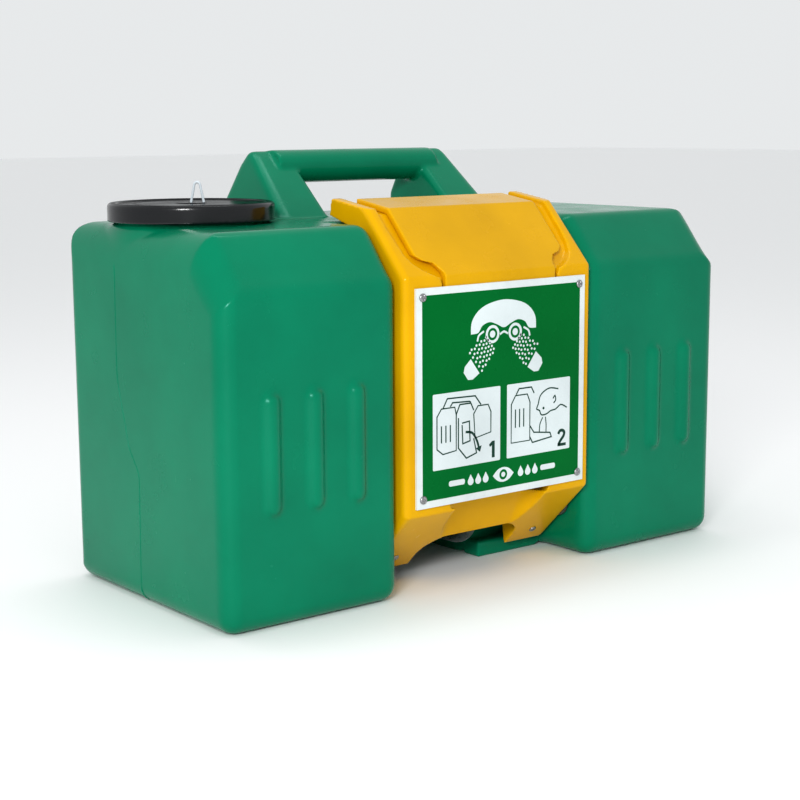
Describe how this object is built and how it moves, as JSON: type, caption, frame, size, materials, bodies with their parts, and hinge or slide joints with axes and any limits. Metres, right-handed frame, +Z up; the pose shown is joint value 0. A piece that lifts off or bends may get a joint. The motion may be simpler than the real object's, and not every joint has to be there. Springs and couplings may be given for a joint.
{
  "type": "portable eyewash station",
  "caption": "Two-lobed portable water tank with moulded carrying handle, screw fill cap and a pull-down arm that uncovers twin eye spray heads behind a sign plate.",
  "frame": {"origin": "middle of the station's footprint, on the plane that its lobes stand on", "axes": "+X to the right seen from the front, +Y to the back, +Z up; the arm is on the -Y side"},
  "size_m": [0.691, 0.318, 0.4595],
  "materials": {
    "tank_green": "rotomoulded polyethylene, satin, fine grain",
    "cap_black": "polished moulded polypropylene",
    "rubber_grey": "soft matt rubber",
    "clear_loop": "clear flexible plastic",
    "arm_yellow": "rotomoulded polyethylene, satin",
    "hood_yellow": "moulded polyethylene, satin",
    "zinc_steel": "bright zinc plate",
    "block_nylon": "machined nylon",
    "stainless": "stainless steel, brushed",
    "washer_acetal": "acetal",
    "brass": "turned brass",
    "sign_board": "white sheet with green print",
    "fitting_nylon": "glass-filled nylon",
    "hose_clear": "reinforced clear PVC",
    "head_green": "moulded ABS",
    "rose_white": "moulded ABS"
  },
  "bodies": {
    "tank_body": {"tank": "tank_green", "pivot_bush_left": "brass", "pivot_bush_right": "brass", "outlet_fitting": "fitting_nylon", "outlet_seal": "rubber_grey", "outlet_nut": "fitting_nylon", "hose": "hose_clear", "hose_clamp_tank": "stainless", "stopper_left": "rubber_grey", "stopper_right": "rubber_grey"},
    "arm": {"arm_frame": "arm_yellow", "hood": "hood_yellow", "ear_screws": "zinc_steel", "hinge_block_left": "block_nylon", "hinge_block_right": "block_nylon", "pivot_pin_left": "stainless", "pivot_pin_right": "stainless", "thrust_washer_left": "washer_acetal", "thrust_washer_right": "washer_acetal", "sign_plate": "sign_board", "sign_screws": "stainless", "sign_inserts": "brass", "hose_clamp_arm": "stainless", "manifold": "fitting_nylon", "spray_head_left": "head_green", "spray_head_right": "head_green", "spray_rose_left": "rose_white", "spray_rose_right": "rose_white", "manifold_bracket": "stainless", "manifold_straps": "zinc_steel"},
    "cap_seal": {"cap_gasket": "rubber_grey"},
    "cap": {"fill_cap": "cap_black", "vent_loop": "clear_loop"}
  },
  "joints": [
    {"name": "arm_pull_down", "type": "hinge", "parent": "tank_body", "child": "arm", "pos_m": [0, -0.104, 0.058], "axis": [1, 0, 0], "range_deg": [0, 90], "deforming": ["hose"]},
    {"name": "cap_lift", "type": "slide", "parent": "tank_body", "child": "cap_seal", "axis": [0, 0, 1], "range_m": [0, 0.12]},
    {"name": "cap_turn", "type": "hinge", "parent": "cap_seal", "child": "cap", "pos_m": [-0.2535, 0.049, 0.4], "axis": [0, 0, 1], "range_deg": [0, 540]}
  ]
}
